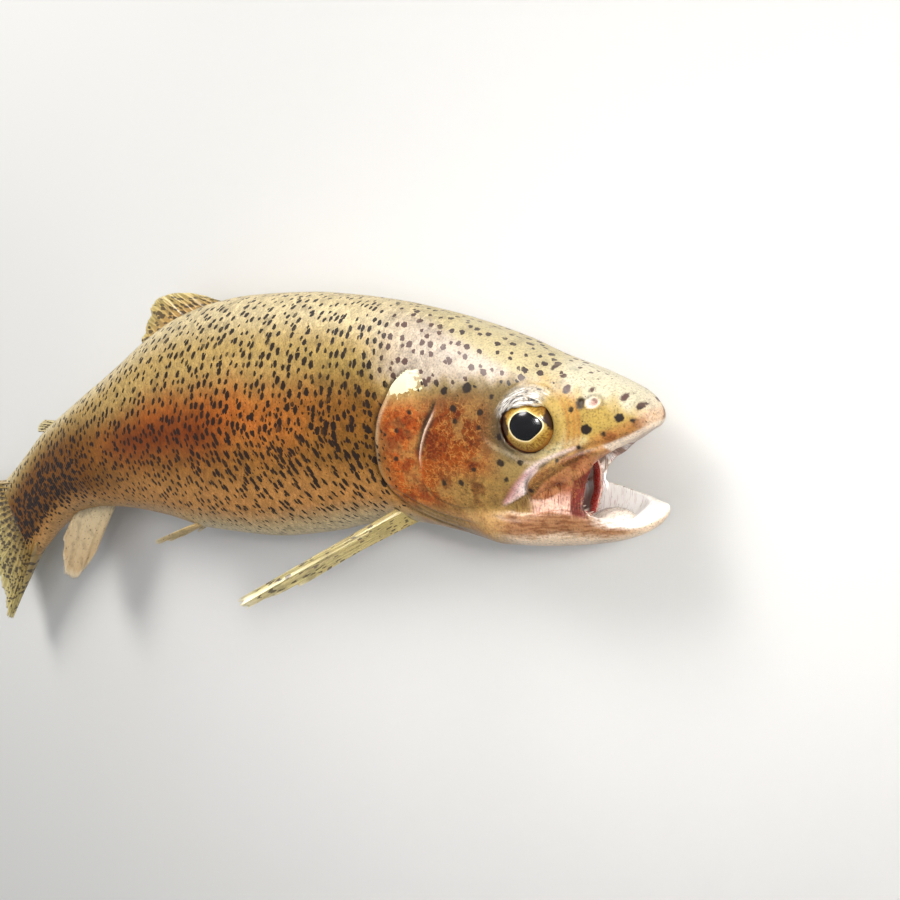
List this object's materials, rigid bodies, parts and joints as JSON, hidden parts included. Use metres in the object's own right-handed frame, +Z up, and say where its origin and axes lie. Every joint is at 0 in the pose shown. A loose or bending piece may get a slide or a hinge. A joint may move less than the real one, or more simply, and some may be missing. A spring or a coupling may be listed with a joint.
{
  "type": "rainbow trout",
  "caption": "Life-size rainbow trout lying on its flank, tail drooping, mouth open to show tongue and gill arches, fins spread",
  "frame": {"origin": "centre of the bounding box in plan, at floor level", "axes": "+X from tail to snout, the longest extent; +Y towards the fish's back; +Z up, towards its right flank, as it lies on its left"},
  "size_m": [0.2664, 0.0974, 0.0482],
  "materials": {
    "olive_skin": "wet olive and rust skin with dark spots",
    "gill_cover": "wet orange-brown skin",
    "pale_mouth": "wet pale flesh",
    "gill_red": "wet dark red",
    "eye": "glossy, gold iris round a black pupil",
    "fin": "yellow-olive membrane with dark spots"
  },
  "bodies": {
    "root": {"head": "olive_skin", "trunk_front": "olive_skin", "trunk_rear": "olive_skin", "tail_stem": "olive_skin", "lower_jaw": "olive_skin", "maxilla_right": "olive_skin", "maxilla_left": "olive_skin", "gill_cover_right": "gill_cover", "gill_cover_left": "gill_cover", "tongue": "pale_mouth", "gill_arches": "gill_red", "eye_right": "eye", "eye_left": "eye", "dorsal_fin": "fin", "adipose_fin": "fin", "anal_fin": "fin", "caudal_fin": "fin", "pectoral_fin_right": "fin", "pectoral_fin_left": "fin", "pelvic_fin_right": "fin", "pelvic_fin_left": "fin"}
  },
  "joints": []
}
